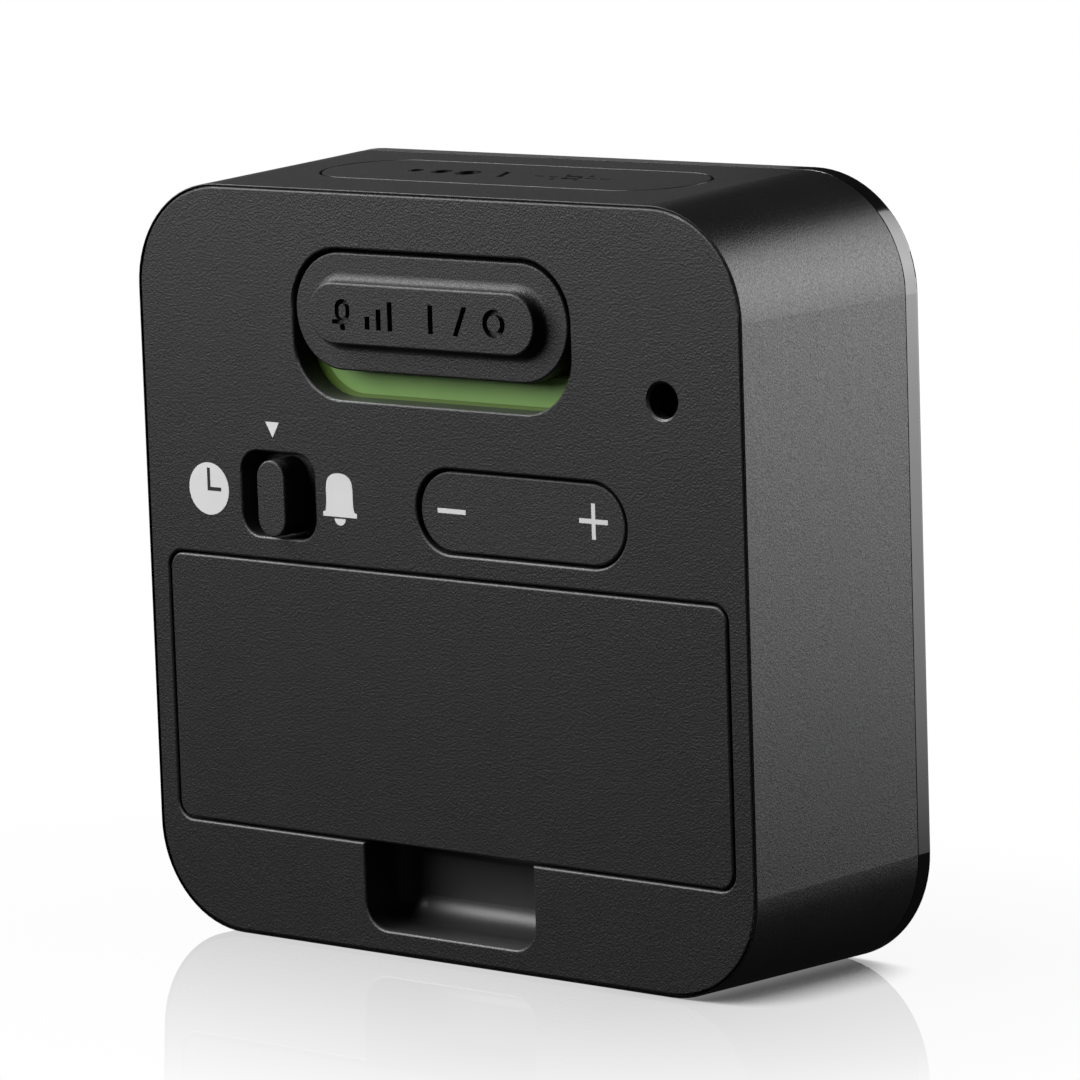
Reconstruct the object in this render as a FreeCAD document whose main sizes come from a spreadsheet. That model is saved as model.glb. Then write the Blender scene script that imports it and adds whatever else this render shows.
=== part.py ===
import FreeCAD, Part
import math
import operator
import os

import Sketcher

# A small travel alarm clock with a battery compartment, in millimetres.
#
# The case is described upright: X runs across it, Z up it, and Y from the display (front)
# to the back cover at y = 0.  All four sides draw in towards the back by the same amount,
# so when the bottom lies flat the whole clock leans back.  Every sub-part is modelled in
# this upright case frame and then gets the same leaning Placement at the end.

doc = FreeCAD.newDocument("travel_alarm_clock")


# --- Driving dimensions -------------------------------------------------------------------

DIMENSIONS = [
    ("front_size", 70.0, "width and height of the front face"),
    ("case_depth", 24.0, "front face to back face"),
    ("draw_in", 1.0, "how far each side draws in from front to back"),
    ("back_corner", 9.5, "corner radius of the case at the back"),
    ("bezel_thickness", 1.95, "gloss front bezel"),
    ("wall", 1.8, "case wall"),
    ("web", 1.0, "front web of the case behind the bezel"),
    ("rim", 0.12, "thin rim of the case round the edge of the back cover"),
    ("lip", 0.45, "lip of the case the edge of the back cover laps over"),
    ("lap", 0.4, "thickness of the edge that laps over the lip"),
    ("seam", 0.13, "gap between case and back cover"),
    ("cover_thickness", 2.0, "back cover plate"),
    ("edge", 0.2, "small rounding on visible edges"),
    ("fine_edge", 0.08, "rounding on the sharp edges of case and bezel"),
    ("sign_depth", 0.5, "depth of the signs sunk into the controls"),
    ("window_width", 47.0, "visible part of the display"),
    ("window_height", 35.0, "visible part of the display"),
    ("window_level", 36.0, "height of the middle of the display"),
    ("pane_ledge", 1.5, "ledge the window pane rests on"),
    ("pane_thickness", 1.0, "window pane"),
    ("board_front", -16.4, "front face of the circuit board"),
    ("board_thickness", 1.2, "circuit board"),
    ("board_half_width", 31.0, "half the width of the circuit board"),
    ("board_bottom", 4.0, "lower edge of the circuit board"),
    ("board_top", 64.4, "upper edge of the circuit board"),
    ("board_corner", 4.0, "corner radius of the circuit board"),
    ("board_screw_side", 26.0, "board screws, distance from the middle"),
    ("board_screw_low", 8.5, "lower board screws"),
    ("board_screw_high", 61.5, "upper board screws"),
    ("pilot_radius", 0.8, "hole a screw cuts its thread in"),
    ("door_width", 63.0, "battery cover"),
    ("door_bottom", 11.12, "lower edge of the battery cover"),
    ("door_top", 35.39, "upper edge of the battery cover"),
    ("door_thickness", 1.5, "battery cover plate"),
    ("door_corner", 1.4, "corner radius of the battery cover"),
    ("door_gap", 0.25, "gap round the battery cover"),
    ("tab_side", 20.0, "cover tabs, distance from the middle"),
    ("tub_half_width", 30.2, "inside of the battery tub"),
    ("tub_bottom", 12.4, "inside of the battery tub"),
    ("tub_top", 34.2, "inside of the battery tub"),
    ("tub_depth", 13.0, "inside of the battery tub, from the back face"),
    ("tub_wall", 1.2, "wall of the battery tub"),
    ("cell_radius", 5.25, "AAA cell"),
    ("cell_length", 44.5, "AAA cell with its nub"),
    ("cell_level", -7.35, "axis of both cells, from the back face"),
    ("cell_low", 17.85, "axis height of the lower cell"),
    ("cell_high", 28.75, "axis height of the upper cell"),
    ("contact_gap", 2.6, "cell end to contact plate"),
    ("contact_sheet", 0.4, "contact sheet metal"),
    ("case_screw_side", 28.0, "case screws, distance from the middle"),
    ("case_screw_level", 23.3, "height of the case screws"),
    ("notch_half_width", 9.65, "finger notch below the battery cover"),
    ("notch_bottom", 3.1, "lower edge of the finger notch"),
    ("notch_depth", 6.0, "depth of the finger notch"),
    ("notch_wall", 1.15, "wall of the finger notch"),
    ("notch_corner", 2.4, "lower corners of the finger notch"),
    ("notch_fillet", 2.2, "rounding between its sides and its floor"),
    ("alarm_slot_width", 31.3, "opening the alarm slider moves in"),
    ("alarm_slot_bottom", 50.45, "lower edge of that opening"),
    ("alarm_slot_top", 63.85, "upper edge of that opening"),
    ("alarm_slot_corner", 5.3, "corner radius of that opening"),
    ("alarm_width", 30.7, "alarm slider plate"),
    ("alarm_bottom", 53.1, "lower edge of the slider plate"),
    ("alarm_top", 63.5, "upper edge of the slider plate"),
    ("alarm_travel", 2.4, "how far the alarm slider moves down"),
    ("grip_width", 25.4, "raised grip on the alarm slider"),
    ("grip_height", 5.4, "raised grip on the alarm slider"),
    ("grip_reach", 1.25, "how far the grip stands out of the back face"),
    ("indicator_level", -2.4, "front of the coloured plate under the slider"),
    ("mode_side", 18.2, "middle of the mode switch"),
    ("mode_level", 41.45, "middle of the mode switch"),
    ("mode_slot_width", 8.65, "opening of the mode switch"),
    ("mode_slot_height", 7.7, "opening of the mode switch"),
    ("mode_knob_width", 3.3, "mode knob"),
    ("mode_knob_height", 6.9, "mode knob"),
    ("mode_knob_reach", 1.0, "how far the mode knob stands out"),
    ("mode_knob_drop", 0.2, "how far the knob sits below the middle of its opening"),
    ("mode_travel", 2.3, "mode knob travel to each side"),
    ("rocker_side", -9.5, "middle of the rocker"),
    ("rocker_level", 41.35, "middle of the rocker"),
    ("rocker_width", 22.7, "rocker cap"),
    ("rocker_height", 7.1, "rocker cap"),
    ("rocker_gap_side", 0.35, "gap at the ends of the rocker"),
    ("rocker_gap_level", 0.26, "gap above and below the rocker"),
    ("rocker_face", -0.25, "face of the rocker cap, from the back face"),
    ("rocker_pivot", -4.4, "pivot pin of the rocker, from the back face"),
    ("rocker_pin_radius", 0.8, "pivot pin of the rocker"),
    ("pin_clearance", 0.06, "running clearance of the pivot pin"),
    ("push_side", 7.85, "rocker posts, distance from the pivot"),
    ("sound_side", -25.4, "sound hole"),
    ("sound_level", 52.5, "sound hole"),
    ("sound_radius", 1.55, "sound hole"),
    ("snooze_length", 41.0, "snooze bar on the top face"),
    ("snooze_width", 11.0, "snooze bar on the top face"),
    ("snooze_middle", -12.2, "middle of the snooze bar, from the back face"),
    ("snooze_gap", 0.22, "gap round the snooze bar"),
    ("snooze_flange", 66.0, "underside of the snooze bar"),
    ("switch_top", -11.0, "back face of the small slide switches"),
    ("lever", 0.8, "half the thickness of a switch lever"),
    ("fork_gap", 0.1, "play between a fork and its lever"),
]

sheet = doc.addObject("Spreadsheet::Sheet", "sizes")
for row, (name, value, meaning) in enumerate(DIMENSIONS, 1):
    sheet.set("A%d" % row, name)
    sheet.set("B%d" % row, str(value))
    sheet.set("C%d" % row, meaning)
    sheet.setAlias("B%d" % row, name)
doc.recompute()


class Length:
    """A number of millimetres together with the spreadsheet formula it comes from."""

    def __init__(self, value, formula):
        self.value = value
        self.formula = formula

    def __add__(self, other):
        return combine(self, "+", other)

    def __radd__(self, other):
        return combine(other, "+", self)

    def __sub__(self, other):
        return combine(self, "-", other)

    def __rsub__(self, other):
        return combine(other, "-", self)

    def __mul__(self, other):
        return combine(self, "*", other)

    def __rmul__(self, other):
        return combine(other, "*", self)

    def __truediv__(self, other):
        return combine(self, "/", other)

    def __neg__(self):
        return combine(0, "-", self)


OPERATIONS = {"+": operator.add, "-": operator.sub, "*": operator.mul, "/": operator.truediv}


def as_length(number):
    if isinstance(number, Length):
        return number
    return Length(float(number), "(%r)" % float(number))


def combine(left, sign, right):
    left = as_length(left)
    right = as_length(right)
    value = OPERATIONS[sign](left.value, right.value)
    return Length(value, "(%s %s %s)" % (left.formula, sign, right.formula))


def size(name):
    return Length(sheet.get(name), "sizes." + name)


# --- Outlines: each returns a function that draws itself, fully constrained, in a sketch ----

ORIGIN = (-1, 1)
START = 1
END = 2
CENTRE = 3


def bind(sketch, kind, *items):
    """Add a dimension whose value follows a spreadsheet formula."""
    length = as_length(items[-1])
    index = sketch.addConstraint(Sketcher.Constraint(kind, *items[:-1], length.value))
    sketch.setExpression("Constraints[%d]" % index, length.formula)


def segment(start, end):
    return Part.LineSegment(FreeCAD.Vector(*start, 0), FreeCAD.Vector(*end, 0))


def corner_arc(centre, radius, start_angle, sweep):
    circle = Part.Circle(FreeCAD.Vector(*centre, 0), FreeCAD.Vector(0, 0, 1), radius)
    return Part.ArcOfCircle(circle, math.radians(start_angle), math.radians(start_angle + sweep))


def polygon(*corners):
    """Straight-sided outline through the given corners."""

    def draw(sketch):
        points = [(as_length(across).value, as_length(up).value) for across, up in corners]
        first = sketch.GeometryCount
        count = len(points)
        for i in range(count):
            sketch.addGeometry(segment(points[i], points[(i + 1) % count]), False)
        for i in range(count):
            following = first + (i + 1) % count
            sketch.addConstraint(Sketcher.Constraint("Coincident", first + i, END, following, START))
        for i, (across, up) in enumerate(corners):
            bind(sketch, "DistanceX", *ORIGIN, first + i, START, across)
            bind(sketch, "DistanceY", *ORIGIN, first + i, START, up)

    return draw


def rectangle(left, right, bottom, top):
    return polygon((left, bottom), (right, bottom), (right, top), (left, top))


def rounded(left, right, bottom, top, radius):
    """Rectangle with four equal round corners."""

    def draw(sketch):
        x0, x1 = as_length(left).value, as_length(right).value
        y0, y1 = as_length(bottom).value, as_length(top).value
        r = as_length(radius).value
        first = sketch.GeometryCount
        sketch.addGeometry([
            segment((x0 + r, y0), (x1 - r, y0)),
            segment((x1, y0 + r), (x1, y1 - r)),
            segment((x1 - r, y1), (x0 + r, y1)),
            segment((x0, y1 - r), (x0, y0 + r)),
            corner_arc((x1 - r, y0 + r), r, -90, 90),
            corner_arc((x1 - r, y1 - r), r, 0, 90),
            corner_arc((x0 + r, y1 - r), r, 90, 90),
            corner_arc((x0 + r, y0 + r), r, 180, 90),
        ], False)
        for side in range(4):
            line = first + side
            arc = first + 4 + side
            following = first + (side + 1) % 4
            sketch.addConstraint(Sketcher.Constraint("Tangent", line, END, arc, START))
            sketch.addConstraint(Sketcher.Constraint("Tangent", arc, END, following, START))
        for line, direction in enumerate(["Horizontal", "Vertical", "Horizontal", "Vertical"]):
            sketch.addConstraint(Sketcher.Constraint(direction, first + line))
        for arc in range(3):
            sketch.addConstraint(Sketcher.Constraint("Equal", first + 4 + arc, first + 5 + arc))
        bind(sketch, "Radius", first + 4, radius)
        bind(sketch, "DistanceY", *ORIGIN, first, START, bottom)
        bind(sketch, "DistanceX", *ORIGIN, first + 1, START, right)
        bind(sketch, "DistanceY", *ORIGIN, first + 2, START, top)
        bind(sketch, "DistanceX", *ORIGIN, first + 3, START, left)

    return draw


def pill(middle_across, middle_up, width, height):
    """Outline with two full half-circle ends, lying down or standing up."""
    middle_across, middle_up = as_length(middle_across), as_length(middle_up)
    width, height = as_length(width), as_length(height)
    lying = width.value > height.value
    thickness = height if lying else width
    radius = thickness / 2
    reach = (width - height) / 2 if lying else (height - width) / 2

    def draw(sketch):
        x, y = middle_across.value, middle_up.value
        r, half = radius.value, reach.value
        first = sketch.GeometryCount
        if lying:
            sketch.addGeometry([
                segment((x - half, y - r), (x + half, y - r)),
                corner_arc((x + half, y), r, -90, 180),
                segment((x + half, y + r), (x - half, y + r)),
                corner_arc((x - half, y), r, 90, 180),
            ], False)
        else:
            sketch.addGeometry([
                segment((x + r, y - half), (x + r, y + half)),
                corner_arc((x, y + half), r, 0, 180),
                segment((x - r, y + half), (x - r, y - half)),
                corner_arc((x, y - half), r, 180, 180),
            ], False)
        for i in range(4):
            following = first + (i + 1) % 4
            sketch.addConstraint(Sketcher.Constraint("Tangent", first + i, END, following, START))
        direction = "Horizontal" if lying else "Vertical"
        sketch.addConstraint(Sketcher.Constraint(direction, first))
        sketch.addConstraint(Sketcher.Constraint(direction, first + 2))
        bind(sketch, "Radius", first + 1, radius)
        along, across = ("DistanceX", "DistanceY") if lying else ("DistanceY", "DistanceX")
        middle_along, middle_side = (
            (middle_across, middle_up) if lying else (middle_up, middle_across))
        bind(sketch, along, *ORIGIN, first + 1, CENTRE, middle_along + reach)
        bind(sketch, along, *ORIGIN, first + 3, CENTRE, middle_along - reach)
        bind(sketch, across, *ORIGIN, first + 1, CENTRE, middle_side)

    return draw


def circle(across, up, radius):

    def draw(sketch):
        centre = FreeCAD.Vector(as_length(across).value, as_length(up).value, 0)
        index = sketch.GeometryCount
        normal = FreeCAD.Vector(0, 0, 1)
        sketch.addGeometry(Part.Circle(centre, normal, as_length(radius).value), False)
        bind(sketch, "Radius", index, radius)
        bind(sketch, "DistanceX", *ORIGIN, index, CENTRE, across)
        bind(sketch, "DistanceY", *ORIGIN, index, CENTRE, up)

    return draw


# --- Features -------------------------------------------------------------------------------

PLANES = {"x": ("YZ_Plane", 1), "y": ("XZ_Plane", -1), "z": ("XY_Plane", 1)}


def new_body(name):
    body = doc.addObject("PartDesign::Body", name)
    body.Label = name
    return body


def add_sketch(body, axis, position, outlines):
    role, facing = PLANES[axis]
    plane = [item for item in body.Origin.OriginFeatures if item.Role == role][0]
    sketch = body.newObject("Sketcher::SketchObject", body.Name + "_outline")
    sketch.AttachmentSupport = [(plane, "")]
    sketch.MapMode = "FlatFace"
    sketch.setExpression(".AttachmentOffset.Base.z", (facing * as_length(position)).formula)
    for draw in outlines:
        draw(sketch)
    sketch.Visibility = False
    return sketch


def pad(body, axis, low, high, *outlines, tapered=False):
    """Add material between two positions along an axis; tapered sides widen to the front."""
    facing = PLANES[axis][1]
    sketch = add_sketch(body, axis, low if facing > 0 else high, outlines)
    feature = body.newObject("PartDesign::Pad", body.Name + "_pad")
    feature.Profile = sketch
    feature.setExpression("Length", (as_length(high) - low).formula)
    if tapered:
        feature.setExpression("TaperAngle", "atan(sizes.draw_in / sizes.case_depth)")
    doc.recompute()
    return feature


def cut(body, axis, low, high, *outlines, tapered=False):
    """Remove material between two positions along an axis."""
    facing = PLANES[axis][1]
    start_low = facing < 0
    if tapered:
        start_low = not start_low
    sketch = add_sketch(body, axis, low if start_low else high, outlines)
    feature = body.newObject("PartDesign::Pocket", body.Name + "_pocket")
    feature.Profile = sketch
    feature.setExpression("Length", (as_length(high) - low).formula)
    if tapered:
        feature.Reversed = True
        feature.setExpression("TaperAngle", "atan(sizes.draw_in / sizes.case_depth)")
    doc.recompute()
    return feature


def within(x=None, y=None, z=None, kind=None):
    """Pick edges that lie inside the given ranges and, if asked, are of one curve kind."""

    def wanted(edge):
        box = edge.BoundBox
        spans = [(x, box.XMin, box.XMax), (y, box.YMin, box.YMax), (z, box.ZMin, box.ZMax)]
        for limits, low, high in spans:
            if limits and (low < limits[0] - 0.01 or high > limits[1] + 0.01):
                return False
        return kind is None or edge.Curve.TypeId == kind

    return wanted


def soften(body, radius, *choices, chamfer=False):
    """Round (or chamfer) every edge of the body that any of the choices picks."""
    base = body.Tip
    edges = base.Shape.Edges
    names = ["Edge%d" % (i + 1) for i, edge in enumerate(edges) if any(c(edge) for c in choices)]
    kind = "Chamfer" if chamfer else "Fillet"
    feature = body.newObject("PartDesign::" + kind, body.Name + "_" + kind.lower())
    feature.Base = (base, names)
    feature.setExpression("Size" if chamfer else "Radius", as_length(radius).formula)
    base.Visibility = False
    doc.recompute()
    return feature


# --- Places used by several sub-parts --------------------------------------------------------

front = -size("case_depth")
bezel_back = front + size("bezel_thickness")
web_back = bezel_back + size("web")
middle = size("front_size") / 2
back_half = middle - size("draw_in")
slope = size("draw_in") / size("case_depth")
board_back = size("board_front") + size("board_thickness")
cover_inside = -size("cover_thickness")
window_half = size("window_width") / 2
window_rise = size("window_height") / 2
tub_floor = -size("tub_depth")
tub_outside = tub_floor - size("tub_wall")
tub_roof = size("tub_top") + size("tub_wall")
contact_inside = size("cell_length") / 2 + size("contact_gap")
contact_outside = contact_inside + size("contact_sheet")
slide_level = (size("alarm_bottom") + size("alarm_top")) / 2
alarm_stem_side = as_length(6.5)
SIDES = (-1, 1)


def case_outline(position, inset=0):
    """Square outline of the case at a depth position, or the same outline moved inwards."""
    grown = -position * slope - inset
    half = back_half + grown
    return rounded(-half, half, middle - half, middle + half, size("back_corner") + grown)


def cover_outline(inset):
    half = back_half - inset
    return rounded(-half, half, middle - half, middle + half, size("back_corner") - inset)


def display_outline(margin_across, margin_up, corner):
    half = window_half + margin_across
    rise = window_rise + margin_up
    level = size("window_level")
    return rounded(-half, half, level - rise, level + rise, corner)


# --- Front: bezel, pane and display stack ----------------------------------------------------

def make_front_bezel():
    body = new_body("front_bezel")
    pad(body, "y", front, bezel_back, case_outline(bezel_back), tapered=True)
    soften(body, size("edge") * 2, within(y=(front.value, front.value)))
    soften(body, size("fine_edge"), within(y=(bezel_back.value, bezel_back.value)))
    ledge = front + size("pane_thickness")
    cut(body, "y", front, ledge, display_outline(size("pane_ledge"), size("pane_ledge"), 3))
    cut(body, "y", ledge, bezel_back, display_outline(0, 0, 1.5))


def make_display_window():
    body = new_body("display_window")
    play = size("pane_ledge") - 0.1
    ledge = front + size("pane_thickness")
    pad(body, "y", front, ledge, display_outline(play, play, 2.9))


GLASS_HALF = 24.5
GLASS_RISE = 20.0
GLASS_BACK = -18.7


def make_lcd_glass():
    body = new_body("lcd_glass")
    level = size("window_level")
    outline = rectangle(-GLASS_HALF, GLASS_HALF, level - GLASS_RISE, level + GLASS_RISE)
    pad(body, "y", web_back + 0.1, GLASS_BACK, outline)


def make_lcd_frame():
    """Holds the glass against the web, the light guide behind it and both contact strips."""
    body = new_body("lcd_frame")
    level = size("window_level")
    board = size("board_front")
    pad(body, "y", web_back, board, rounded(-26.2, 26.2, level - 21.6, level + 21.6, 1))
    glass_seat = rectangle(
        -GLASS_HALF - 0.1, GLASS_HALF + 0.1, level - GLASS_RISE - 0.1, level + GLASS_RISE + 0.1)
    cut(body, "y", web_back, GLASS_BACK, glass_seat)
    cut(body, "y", GLASS_BACK, board, rectangle(-23, 23, level - 15.5, level + 15.5))
    for side in SIDES:
        strip = level + side * 18.2
        cut(body, "y", GLASS_BACK, board, rectangle(-22.5, 22.5, strip - 1, strip + 1))


def make_contact_strips():
    """Rubber strips that carry the display signals from the board to the glass."""
    for name, side in (("zebra_strip_lower", -1), ("zebra_strip_upper", 1)):
        body = new_body(name)
        strip = size("window_level") + side * 18.2
        pad(body, "y", GLASS_BACK, size("board_front"),
            rectangle(-22.4, 22.4, strip - 0.9, strip + 0.9))


def make_light_guide():
    body = new_body("light_guide")
    level = size("window_level")
    pad(body, "y", GLASS_BACK + 0.1, size("board_front"),
        rectangle(-19.5, 22.8, level - 15.2, level + 15.2))


def make_backlight_leds():
    for name, offset in (("backlight_led_lower", -8), ("backlight_led_upper", 8)):
        body = new_body(name)
        level = size("window_level") + offset
        board = size("board_front")
        pad(body, "y", board - 1.2, board, rectangle(-22.6, -19.9, level - 1.4, level + 1.4))
        soften(body, 0.3, within(x=(-19.9, -19.9), z=((level - 1.4).value, (level + 1.4).value)))


# --- Circuit board and what stands on it -----------------------------------------------------

def board_screw_places():
    for side in SIDES:
        for level in (size("board_screw_low"), size("board_screw_high")):
            yield side * size("board_screw_side"), level


def make_main_board():
    body = new_body("main_board")
    half = size("board_half_width")
    low, high = size("board_front"), board_back
    pad(body, "y", low, high,
        rounded(-half, half, size("board_bottom"), size("board_top"), size("board_corner")))
    cut(body, "y", low, high, *[circle(x, z, 1.0) for x, z in board_screw_places()])
    level = size("case_screw_level")
    cut(body, "y", low, high,
        rectangle(-half - 1, -25.9, level - 2.9, level + 2.9),
        rectangle(25.9, half + 1, level - 2.9, level + 2.9))


def make_chip():
    body = new_body("clock_chip")
    pad(body, "y", board_back, board_back + 1.4, circle(7.5, 47, 3.6))
    soften(body, 1.0, within(y=((board_back + 1.4).value, (board_back + 1.4).value)))


def make_crystal():
    body = new_body("quartz_crystal")
    pad(body, "z", 53, 59, circle(12.5, board_back + 1.02, 1.0))
    pad(body, "z", 52.6, 53, circle(12.5, board_back + 1.02, 0.8))
    soften(body, 0.3, within(z=(59, 59)))


def make_capacitors():
    for name, side in (("capacitor_inner", 19.5), ("capacitor_outer", 25.5)):
        body = new_body(name)
        pad(body, "y", board_back, board_back + 0.8, rounded(side - 2.1, side + 2.1, 51.9, 56.1, 0.5))
        pad(body, "y", board_back + 0.8, board_back + 5.4, circle(side, 54, 2.0))
        soften(body, 0.3, within(y=((board_back + 5.4).value, (board_back + 5.4).value)))


def make_buzzer():
    body = new_body("buzzer")
    x, z = size("sound_side"), size("sound_level")
    top = board_back + 9.0
    pad(body, "y", board_back, top, circle(x, z, 6.0))
    soften(body, 0.4, within(y=(top.value, top.value)))
    cut(body, "y", top - 1.5, top, circle(x, z, 1.2))


def make_slide_switch(name, x, z, half_across, half_up, slot):
    """Small slide switch on the board: a body with a slot its lever moves in."""
    body = new_body(name + "_switch_body")
    top = size("switch_top")
    pad(body, "y", board_back, top, rectangle(x - half_across, x + half_across, z - half_up, z + half_up))
    cut(body, "y", top - 1.4, top, slot)


def make_switch_lever(name, x, z):
    body = new_body(name + "_switch_lever")
    half = size("lever")
    top = size("switch_top")
    pad(body, "y", top - 0.8, top + 3.8, rectangle(x - half, x + half, z - half, z + half))


def make_alarm_switch():
    x = alarm_stem_side
    travel = size("alarm_travel")
    reach = size("lever") + 0.2
    slot = rectangle(x - reach, x + reach, slide_level - reach - travel, slide_level + reach)
    make_slide_switch("alarm", x, slide_level - travel / 2, 1.8, 4.3, slot)
    make_switch_lever("alarm", x, slide_level)


def make_mode_switch():
    x, z = size("mode_side"), size("mode_level")
    reach = size("lever") + 0.2
    slot = rectangle(x - reach - size("mode_travel"), x + reach + size("mode_travel"), z - reach, z + reach)
    make_slide_switch("mode", x, z, 5.0, 1.8, slot)
    make_switch_lever("mode", x, z)


def make_push_switches():
    """One push switch under each end of the rocker."""
    for name, side in (("minus", 1), ("plus", -1)):
        x = size("rocker_side") + side * size("push_side")
        z = size("rocker_level")
        top = board_back + 3.4
        body = new_body(name + "_switch_body")
        pad(body, "y", board_back, top, rounded(x - 3, x + 3, z - 3, z + 3, 0.4))
        cut(body, "y", top - 0.9, top, circle(x, z, 1.75))
        plunger = new_body(name + "_switch_plunger")
        pad(plunger, "y", top - 0.5, top + 1.4, circle(x, z, 1.7))
        soften(plunger, 0.2, within(y=((top + 1.4).value, (top + 1.4).value)))


def make_snooze_switch():
    """Push switch lying on its side, pressed from above by the snooze bar."""
    y = size("snooze_middle")
    body = new_body("snooze_switch_body")
    pad(body, "z", 57.6, 61, rectangle(-3.1, 3.1, board_back, y + 2))
    cut(body, "z", 59.4, 61, circle(0, y, 1.65))
    plunger = new_body("snooze_switch_plunger")
    pad(plunger, "z", 60.5, 63, circle(0, y, 1.6))


# --- Case shell ------------------------------------------------------------------------------

def make_case_shell():
    body = new_body("case_shell")
    pad(body, "y", bezel_back, 0, case_outline(as_length(0)), tapered=True)
    ends = [within(y=(place.value, place.value)) for place in (bezel_back, as_length(0))]
    soften(body, size("fine_edge"), *ends)
    cut(body, "y", web_back, 0, case_outline(as_length(0), size("wall")), tapered=True)
    cut(body, "y", cover_inside, 0, cover_outline(size("lip")))
    cut(body, "y", -size("lap") - 0.05, 0, cover_outline(size("rim")))
    cut(body, "y", bezel_back, web_back, display_outline(0, 0, 1.5))
    add_case_bosses(body)
    cut_snooze_opening(body)
    cut_notch_relief(body)


def add_case_bosses(body):
    board = size("board_front")
    cover_boss = tub_outside - 0.1
    cover_places = [(side * size("case_screw_side"), size("case_screw_level")) for side in SIDES]
    pad(body, "y", web_back, board, *[circle(x, z, 2.2) for x, z in board_screw_places()])
    pad(body, "y", web_back, cover_boss, *[circle(x, z, 1.7) for x, z in cover_places])
    pilot = size("pilot_radius")
    cut(body, "y", web_back + 0.5, board, *[circle(x, z, pilot) for x, z in board_screw_places()])
    cut(body, "y", web_back + 1, cover_boss, *[circle(x, z, pilot) for x, z in cover_places])


def cut_snooze_opening(body):
    gap = size("snooze_gap") * 2
    cut(body, "z", middle + 30, middle + 36,
        pill(0, size("snooze_middle"), size("snooze_length") + gap, size("snooze_width") + gap))
    rim = within(x=(-21, 21), y=(-18.2, -6.2), z=(69, 70))
    soften(body, size("edge") / 2, rim)


def cut_notch_relief(body):
    """Thins the bottom wall where the finger notch of the cover reaches down to it."""
    half = size("notch_half_width") + size("notch_wall") + 0.3
    bottom = size("notch_bottom") - size("notch_wall") - 0.3
    depth = size("notch_depth") + size("notch_wall") + 0.3
    cut(body, "y", -depth, cover_inside, rectangle(-half, half, bottom, bottom + 2))


# --- Back cover ------------------------------------------------------------------------------

def make_back_cover():
    body = new_body("back_cover")
    pad(body, "y", cover_inside, -size("lap"), cover_outline(size("lip") + size("seam")))
    pad(body, "y", -size("lap"), 0, cover_outline(size("rim") + size("seam")))
    soften(body, size("edge"), within(y=(0, 0)))
    add_battery_tub(body)
    add_finger_notch(body)
    cut_door_recess(body)
    add_contact_ribs(body)
    add_slider_seat(body)
    add_sound_hole(body)
    add_rocker_ears(body)
    cut_control_openings(body)


def add_battery_tub(body):
    wall = size("tub_wall")
    half = size("tub_half_width")
    low, high = size("tub_bottom"), size("tub_top")
    pad(body, "y", tub_outside, cover_inside,
        rounded(-half - wall, half + wall, low - wall, high + wall, 1.5))


def cut_door_recess(body):
    half = size("tub_half_width")
    cut(body, "y", tub_floor, 0, rounded(-half, half, size("tub_bottom"), size("tub_top"), 0.6))
    side = size("door_width") / 2 + size("door_gap")
    gap = size("door_gap")
    cut(body, "y", -size("door_thickness"), 0,
        rounded(-side, side, size("door_bottom") - gap, size("door_top") + gap,
                size("door_corner") + gap))
    tab = size("tab_side")
    cut(body, "y", -6, -size("door_thickness"),
        *[rectangle(s * tab - 3.3, s * tab + 3.3, size("tub_top") - 0.5, size("door_top") + gap)
          for s in SIDES])
    screw = size("case_screw_side")
    cut(body, "y", tub_outside, tub_floor,
        *[circle(s * screw, size("case_screw_level"), 1.25) for s in SIDES])


def add_finger_notch(body):
    half = size("notch_half_width")
    wall = size("notch_wall")
    bottom, top = size("notch_bottom"), size("tub_bottom") - size("tub_wall")
    depth = size("notch_depth")
    pad(body, "y", -depth - wall, cover_inside,
        rectangle(-half - wall, half + wall, bottom - wall, top))
    cut(body, "y", -depth, 0, rectangle(-half, half, bottom, top))
    corners = [
        within(x=(place, place), y=(-depth.value, 0), z=(bottom.value, bottom.value))
        for place in (-half.value, half.value)]
    soften(body, size("notch_corner"), *corners)
    floor = within(x=(-half.value, half.value), y=(-depth.value, -depth.value))
    soften(body, size("notch_fillet"), floor)


def add_contact_ribs(body):
    """Pairs of ribs that hold the contact plates upright, and slots for their tails."""
    low, high = size("tub_bottom"), size("tub_top")
    split = (size("cell_low") + size("cell_high")) / 2
    levels = [(low - 0.2, low + 1.0), (split - 1.1, split + 1.1), (high - 1.0, high + 0.2)]
    for side in SIDES:
        for near in (contact_inside - 0.65, contact_outside + 0.05):
            edges = sorted([side * near, side * (near + 0.6)], key=lambda length: length.value)
            pad(body, "y", tub_floor - 0.2, -4,
                *[rectangle(edges[0], edges[1], bottom, top) for bottom, top in levels])
    slot_inside, slot_outside = contact_inside - 0.1, contact_outside + 0.1
    cut(body, "y", tub_outside, tub_floor,
        *[rectangle(-slot_outside, -slot_inside, level - 1.7, level + 1.7)
          for level in (size("cell_low"), size("cell_high"))])


def add_slider_seat(body):
    """Raised seat behind the alarm opening that the coloured plate is fixed to."""
    pad(body, "y", size("indicator_level"), cover_inside,
        rounded(-17.4, 17.4, size("alarm_slot_bottom") - 1.2, size("alarm_slot_top") + 1.2, 3))


def add_sound_hole(body):
    x, z = size("sound_side"), size("sound_level")
    pad(body, "y", -5.6, cover_inside, circle(x, z, 3.4))
    cut(body, "y", -5.6, cover_inside + 0.6, circle(x, z, 2.2))
    cut(body, "y", cover_inside, 0, circle(x, z, size("sound_radius")))
    around = within(x=(x.value - 2, x.value + 2), y=(0, 0), z=(z.value - 2, z.value + 2))
    soften(body, size("edge"), around, chamfer=True)


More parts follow.
